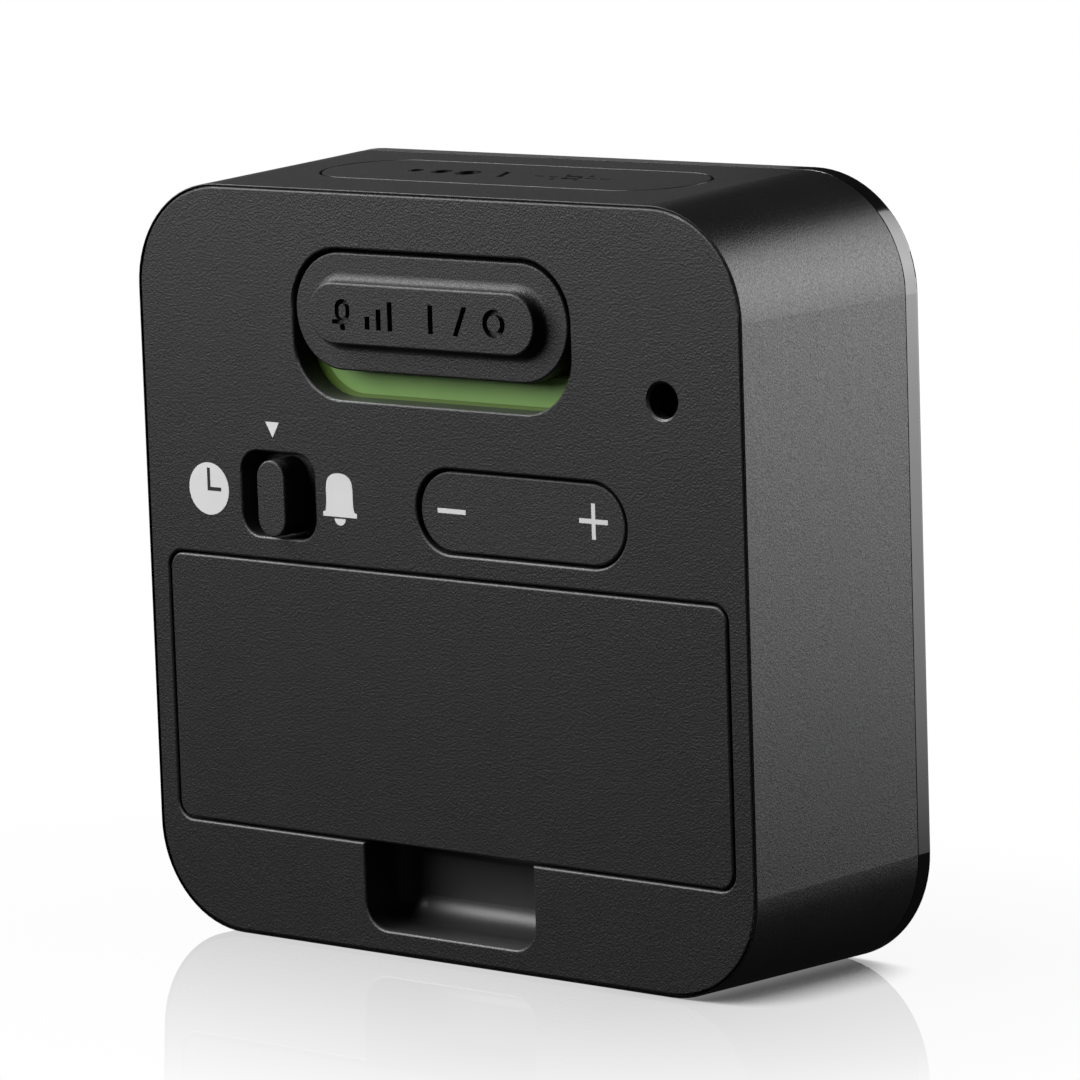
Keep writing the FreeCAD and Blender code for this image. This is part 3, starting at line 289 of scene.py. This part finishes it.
NODE_MATERIALS = {
    "eroded_back": (BACK_GRAIN, ("back_cover", "battery_cover")),
    "satin_case": (CASE_SATIN, ("case_shell", "snooze_bar")),
    "controls": (CONTROL_GRAIN, ("alarm_slider", "mode_knob", "rocker_button")),
    "bezel": (BEZEL_GLOSS, ("front_bezel",)),
    "green": (SHADED_GREEN_PLATE, ("alarm_indicator_plate",)),
    "pane": (PANE, ("display_window",)),
    "display": (DISPLAY_GLASS, ("lcd_glass",)),
    "frame": (FRAME_WHITE, ("lcd_frame",)),
    "strips": (STRIP_RUBBER, ("zebra_strip_lower", "zebra_strip_upper")),
    "guide": (GUIDE, ("light_guide",)),
    "leds": (LED_BODY, ("backlight_led_lower", "backlight_led_upper")),
    "board": (BOARD, ("main_board",)),
    "chip": (CHIP_EPOXY, ("clock_chip",)),
    "cans": (CAN_METAL, ("quartz_crystal", "capacitor_inner", "capacitor_outer")),
    "cells": (CELL_WRAP, ("battery_lower", "battery_upper")),
    "contacts": (CONTACT_METAL, (
        "contact_bridge", "contact_negative", "contact_positive",
        "contact_spring_lower", "contact_spring_upper")),
    "screws": (SCREW_STEEL, (
        "board_screw_right_low", "board_screw_right_high", "board_screw_left_low",
        "board_screw_left_high", "case_screw_right", "case_screw_left")),
    "switch_bodies": (SWITCH_BLACK, (
        "slider_guide_plate", "buzzer", "alarm_switch_body", "mode_switch_body", "minus_switch_body",
        "plus_switch_body", "snooze_switch_body")),
    "switch_levers": (SWITCH_LIGHT, (
        "alarm_switch_lever", "mode_switch_lever", "minus_switch_plunger",
        "plus_switch_plunger", "snooze_switch_plunger")),
}

for material, nodes in NODE_MATERIALS.values():
    for node in nodes:
        for material_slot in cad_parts[node].material_slots:
            material_slot.material = material


# --- Outlines for prints and for a painted lit field, in millimetres across and up ----------

def round_outline(x, z, radius, steps=64):
    turn = 2 * math.pi / steps
    return [(x + radius * math.cos(i * turn), z + radius * math.sin(i * turn)) for i in range(steps)]


def bar_outline(x, z, width, height):
    return [
        (x - width / 2, z - height / 2), (x + width / 2, z - height / 2),
        (x + width / 2, z + height / 2), (x - width / 2, z + height / 2)]


def smooth(points, steps=6):
    """Catmull-Rom curve through open points."""
    padded = [points[0]] + points + [points[-1]]
    curve = []
    for before, start, end, after in zip(padded, padded[1:], padded[2:], padded[3:]):
        for i in range(steps):
            u = i / steps
            curve.append(tuple(
                0.5 * (2 * b + (c - a) * u + (2 * a - 5 * b + 4 * c - d) * u ** 2
                       + (3 * b - a - 3 * c + d) * u ** 3)
                for a, b, c, d in zip(before, start, end, after)))
    curve.append(points[-1])
    return curve


def bell_outline(x, top, size):
    """Bell body: one smooth side from the crown to the flared rim, and its mirror image."""
    side = smooth([
        (0.0, 0.0), (0.75, -0.12), (1.3, -0.52), (1.52, -1.2), (1.54, -2.4), (1.6, -3.1), (1.7, -3.45)])
    side += [(1.96, -3.5), (1.96, -3.9)]
    right = [(x + size * across, top + size * down) for across, down in side]
    left = [(2 * x - across, up) for across, up in reversed(right)]
    return right + left[:-1]


def print_piece(name, outlines, y_low, y_high, material, body):
    """A thin raised print: each outline becomes a flat prism between two depths."""
    mesh = bmesh.new()
    for outline in outlines:
        low = [mesh.verts.new(on_case(x, y_low, z)) for x, z in outline]
        high = [mesh.verts.new(on_case(x, y_high, z)) for x, z in outline]
        mesh.faces.new(low)
        mesh.faces.new(list(reversed(high)))
        count = len(outline)
        for i in range(count):
            j = (i + 1) % count
            mesh.faces.new((low[j], low[i], high[i], high[j]))
    bmesh.ops.recalc_face_normals(mesh, faces=mesh.faces[:])
    data = bpy.data.meshes.new(name)
    mesh.to_mesh(data)
    mesh.free()
    piece = bpy.data.objects.new(name, data)
    bpy.context.scene.collection.objects.link(piece)
    data.materials.append(material)
    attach(piece, body)
    return piece


# Depths of the printed faces: the back face is at zero.
PRINT_THICKNESS = 0.02
ROCKER_FACE = -0.25
PLATE_FACE = -2.4


def print_light_sign(name, outlines, face=0, body="clock"):
    print_piece(name, outlines, face, face + PRINT_THICKNESS, LIGHT_PRINT, body)


def hands_outline(x, z, stroke, upward, sideways):
    """Two clock hands from one middle: one up, one towards negative x."""
    half = stroke / 2
    return [
        (x + half, z + upward), (x - half, z + upward), (x - half, z + half),
        (x - sideways, z + half), (x - sideways, z - half), (x + half, z - half)]


def clapper_outline(x, z, across, down, steps=12):
    turn = math.pi / steps
    return [(x - across * math.cos(i * turn), z - down * math.sin(i * turn)) for i in range(steps + 1)]


def plus_outline(x, z, reach, stroke):
    """Cross from the same three corner places in each quarter."""
    half = stroke / 2
    quarter = [(reach, -half), (reach, half), (half, half)]
    outline = []
    for right, up in ((1, 0), (0, 1), (-1, 0), (0, -1)):
        outline += [(x + right * a - up * b, z + up * a + right * b) for a, b in quarter]
    return outline


def lit_field_outline(left, top, bottom, x, z, radius):
    """Painted lit field of the alarm strip, inset so the darker plate shows as painted shadow of the slot's
    walls: a straight side, and an arc along the slot's end.
    """
    angles = [math.radians(degrees) for degrees in range(-90, -26, 4)]
    arc = [(x + radius * math.cos(angle), z + radius * math.sin(angle)) for angle in angles]
    return [(left, top), (left, bottom)] + arc


print_light_sign("print_arrow", [[(19.4, 48.0), (18.6, 46.6), (17.8, 48.0)]])
print_light_sign("print_clock_disc", [round_outline(26.45, 41.5, 2.37)])
print_piece("print_clock_hands", [hands_outline(26.45, 41.5, 0.34, 1.9, 1.45)],
            PRINT_THICKNESS, 1.5 * PRINT_THICKNESS, DARK_PRINT, "clock")
print_light_sign("print_bell", [bell_outline(11.0, 43.92, 1.0), clapper_outline(11.0, 39.86, 0.64, 0.6)])
print_light_sign("print_minus", [bar_outline(-1.65, 41.4, 3.16, 0.42)], ROCKER_FACE, "rocker")
print_light_sign("print_plus", [plus_outline(-17.4, 41.65, 1.56, 0.42)], ROCKER_FACE, "rocker")
# The pale field is painted light; the darker plate left along its side and bottom is painted shadow of the
# slot's walls.
print_piece("painted_light_alarm_field", [lit_field_outline(-16.9, 53.45, 50.8, 9.5, 55.7, 4.9)],
            PLATE_FACE, PLATE_FACE + PRINT_THICKNESS, LIT_GREEN_FIELD, "clock")


# --- Figures on the display -------------------------------------------------------------------

SEGMENTS = {
    "0": "abcdef", "1": "bc", "2": "abdeg", "3": "abcdg", "4": "bcfg",
    "5": "acdfg", "6": "acdefg", "7": "abc", "8": "abcdefg", "9": "abcdfg"}


def digit_outlines(figure, x, z, width, height, stroke):
    """Seven-segment figure seen from the front, where +x is the viewer's right."""
    gap = stroke * 0.12
    half = height / 2

    def lying(level):
        left, right, tip = x + gap, x + width - gap, stroke / 2
        return [(left, level), (left + tip, level - tip), (right - tip, level - tip), (right, level),
                (right - tip, level + tip), (left + tip, level + tip)]

    def standing(across, low):
        bottom, top, tip = low + gap, low + half - gap, stroke / 2
        return [(across, bottom), (across + tip, bottom + tip), (across + tip, top - tip), (across, top),
                (across - tip, top - tip), (across - tip, bottom + tip)]

    places = {
        "a": lying(z + height), "g": lying(z + half), "d": lying(z),
        "f": standing(x, z + half), "b": standing(x + width, z + half),
        "e": standing(x, z), "c": standing(x + width, z)}
    return [places[segment] for segment in SEGMENTS[figure]]


def time_outlines(figures, z, width, height, stroke, colon_x, colon_levels, dot, dot_steps):
    """Figures, each with the place of its left side, and the two dots between them."""
    outlines = []
    for figure, left in figures:
        outlines += digit_outlines(figure, left, z, width, height, stroke)
    return outlines + [round_outline(colon_x, level, dot, dot_steps) for level in colon_levels]


GLASS_FRONT = -20.95
FIGURE_THICKNESS = 0.03

clock_time = time_outlines(
    (("1", -19.5), ("0", -9.7), ("0", 3.6), ("8", 13.4)), 28.0, 6.6, 14.0, 1.7,
    0.2, (38.4, 31.8), 0.9, 24)
print_piece("display_time", clock_time, GLASS_FRONT - FIGURE_THICKNESS, GLASS_FRONT,
            DARK_PRINT, "clock")
alarm_time = [bell_outline(-18.0, 50.4, 0.9)] + time_outlines(
    (("0", -13.0), ("7", -9.0), ("3", -3.4), ("0", 0.6)), 47.2, 2.4, 3.4, 0.5,
    -5.0, (49.8, 48.1), 0.28, 16)
print_piece("display_alarm_time", alarm_time, GLASS_FRONT - FIGURE_THICKNESS, GLASS_FRONT,
            DARK_PRINT, "clock")


# --- Studio --------------------------------------------------------------------------------------

# Middle and half the size of the patch of floor below the clock, in metres.
FOOTPRINT_MIDDLE = (0.006, 0, 0)
FOOTPRINT_HALF = (0.027, 0.011, 0)

# Share of mirror image in the floor next to that patch, and how far away it ends.
MIRROR_SHARE = 0.37
MIRROR_REACH = 0.058

# How near to the floor the clock has to be to shade it, how open the floor is where it is
# black and where it is white, and the places across (x) between which the shade comes in.
SHADOW_REACH = 0.010
SHADOW_RANGE = (0.16, 0.6)
SHADOW_SIDE = (-0.016, -0.030)

FLOOR_SIZE = 6


def distance_from_footprint(tree, place):
    """Distance on the floor from the patch below the clock, folded into one quarter of it."""
    steps = (
        ("SUBTRACT", FOOTPRINT_MIDDLE), ("ABSOLUTE", None), ("SUBTRACT", FOOTPRINT_HALF),
        ("MAXIMUM", (0, 0, 0)))
    for operation, constant in steps:
        step = add_node(tree, "ShaderNodeVectorMath", operation=operation)
        if constant:
            step.inputs[1].default_value = constant
        tree.links.new(place, step.inputs[0])
        place = step.outputs[0]
    distance = add_node(tree, "ShaderNodeVectorMath", operation="LENGTH")
    tree.links.new(place, distance.inputs[0])
    return distance.outputs["Value"]


def add_floor():
    """White floor: the clock's mirror image fades with distance, its shadow lies to one side."""
    material, tree, shader = new_material("studio_floor")
    tree.nodes.remove(shader)
    output = tree.nodes["Material Output"]
    place = add_node(tree, "ShaderNodeTexCoord").outputs["Object"]
    away = distance_from_footprint(tree, place)
    mirrored = remap(tree, away, (0.0, MIRROR_REACH), (MIRROR_SHARE, 0.0))
    shade = add_node(tree, "ShaderNodeAmbientOcclusion", samples=16, Distance=SHADOW_REACH)
    lit = remap(tree, shade.outputs["AO"], SHADOW_RANGE, (0.0, 1.0))
    apart = add_node(tree, "ShaderNodeSeparateXYZ")
    tree.links.new(place, apart.inputs[0])
    brightness = remap(tree, apart.outputs["X"], SHADOW_SIDE, (1.0, lit))
    glow = add_node(tree, "ShaderNodeEmission")
    mirror = add_node(tree, "ShaderNodeBsdfGlossy", Roughness=0.0)
    blend = add_node(tree, "ShaderNodeMixShader")
    tree.links.new(brightness, glow.inputs["Strength"])
    tree.links.new(mirrored, blend.inputs["Fac"])
    tree.links.new(glow.outputs[0], blend.inputs[1])
    tree.links.new(mirror.outputs[0], blend.inputs[2])
    tree.links.new(blend.outputs[0], output.inputs["Surface"])
    bpy.ops.mesh.primitive_plane_add(size=FLOOR_SIZE)
    floor = bpy.context.object
    floor.name = "studio_floor"
    floor.data.materials.append(material)
    floor.visible_diffuse = False
    floor.visible_glossy = False


# Strength of the white surroundings as a light.
WORLD_LIGHT = 0.012


def add_world():
    """White where the camera or the mirror floor looks at it, dim as a light."""
    world = bpy.data.worlds.new("studio")
    world.use_nodes = True
    tree = world.node_tree
    background = tree.nodes["Background"]
    path = add_node(tree, "ShaderNodeLightPath")
    seen = add_node(tree, "ShaderNodeMath", operation="MAXIMUM")
    tree.links.new(path.outputs["Is Camera Ray"], seen.inputs[0])
    tree.links.new(path.outputs["Is Singular Ray"], seen.inputs[1])
    strength = remap(tree, seen.outputs[0], (0.0, 1.0), (WORLD_LIGHT, 1.0))
    tree.links.new(strength, background.inputs["Strength"])
    background.inputs["Color"].default_value = (1, 1, 1, 1)
    bpy.context.scene.world = world


# Middle of the clock, which the lights face, in metres.
LIT_MIDDLE = Vector((0, 0, 0.035))


def add_softbox(name, direction, distance, width, height, radiance, shift=(0, 0)):
    """Area light in a direction from the clock, turned to face it; shift moves it in its plane."""
    light = bpy.data.lights.new(name, "AREA")
    light.shape = "RECTANGLE"
    light.size = width
    light.size_y = height
    light.energy = radiance * math.pi * width * height
    box = bpy.data.objects.new(name, light)
    bpy.context.scene.collection.objects.link(box)
    away = Vector(direction).normalized()
    across = Vector((0, 0, 1)).cross(away).normalized()
    upward = away.cross(across)
    middle = LIT_MIDDLE + away * distance
    turn = Matrix((across, upward, away)).transposed().to_4x4()
    box.matrix_world = Matrix.Translation(middle + across * shift[0] + upward * shift[1]) @ turn
    return light


def fade_upwards(light, levels):
    """Give a light a strength that changes from its lower to its upper edge.

    Levels are pairs: a place between the edges, from 0 to 1, and the strength there.
    """
    light.use_nodes = True
    tree = light.node_tree
    where = add_node(tree, "ShaderNodeNewGeometry")
    apart = add_node(tree, "ShaderNodeSeparateXYZ")
    ramp = add_node(tree, "ShaderNodeValToRGB")
    stops = ramp.color_ramp.elements
    while len(stops) < len(levels):
        stops.new(0.5)
    for stop, (place, strength) in zip(stops, levels):
        stop.position = place
        stop.color = (strength, strength, strength, 1)
    tree.links.new(where.outputs["Parametric"], apart.inputs[0])
    tree.links.new(apart.outputs["Y"], ramp.inputs["Fac"])
    tree.links.new(ramp.outputs["Color"], tree.nodes["Emission"].inputs["Strength"])


# The side panel is mirrored by the side wall and the bezel; it grows dim towards its edges.
SIDE_FADE = [
    (0.0, 0.0), (0.04, 0.06), (0.1, 0.24), (0.17, 0.40), (0.23, 0.54), (0.3, 0.79), (0.5, 0.97),
    (0.75, 0.80), (1.0, 0.40)]

add_floor()
add_world()
side_panel = add_softbox("softbox_side", (-0.66, -0.74, 0.10), 0.30, 0.31, 0.36, 8.2, (-0.02, 0.057))
fade_upwards(side_panel, SIDE_FADE)

# The back box lights the back face, the top box the edges that look up, and the rear box,
# low behind the clock, the top face.
add_softbox("softbox_back", (0.55, 0.74, 0.38), 0.5, 0.42, 0.3, 6.0, (-0.02, 0.014))
add_softbox("softbox_top", (0.63, 0.11, 0.77), 0.5, 0.2, 0.36, 14.0)
add_softbox("softbox_rear", (0.72, -0.66, 0.20), 0.3, 0.15, 0.15, 0.18)


# --- Camera ----------------------------------------------------------------------------------------

# Where the camera stands, seen from the point that it looks at; lengths in metres.
AZIMUTH = math.radians(219.075)
ELEVATION = math.radians(7.160)
ROLL = math.radians(-0.348)
CAMERA_DISTANCE = 0.527
FOCAL_LENGTH_MM = 203.96
SENSOR_MM = 36.0
CLIP_START = 0.01
AIM = Vector((-0.01039, 0.010204, 0.038385))


def add_camera():
    back = Vector((
        math.sin(AZIMUTH) * math.cos(ELEVATION),
        -math.cos(AZIMUTH) * math.cos(ELEVATION),
        math.sin(ELEVATION)))
    right = (-back).cross(Vector((0, 0, 1))).normalized()
    up = right.cross(-back)
    rolled_right = right * math.cos(ROLL) + up * math.sin(ROLL)
    rolled_up = up * math.cos(ROLL) - right * math.sin(ROLL)
    turn = Matrix((rolled_right, rolled_up, back)).transposed()
    data = bpy.data.cameras.new("camera")
    data.lens = FOCAL_LENGTH_MM
    data.sensor_width = SENSOR_MM
    data.clip_start = CLIP_START
    camera = bpy.data.objects.new("camera", data)
    camera.matrix_world = Matrix.Translation(AIM + back * CAMERA_DISTANCE) @ turn.to_4x4()
    bpy.context.scene.collection.objects.link(camera)
    bpy.context.scene.camera = camera


add_camera()
bpy.context.scene.view_settings.view_transform = "Standard"
bpy.context.scene.view_settings.look = "None"
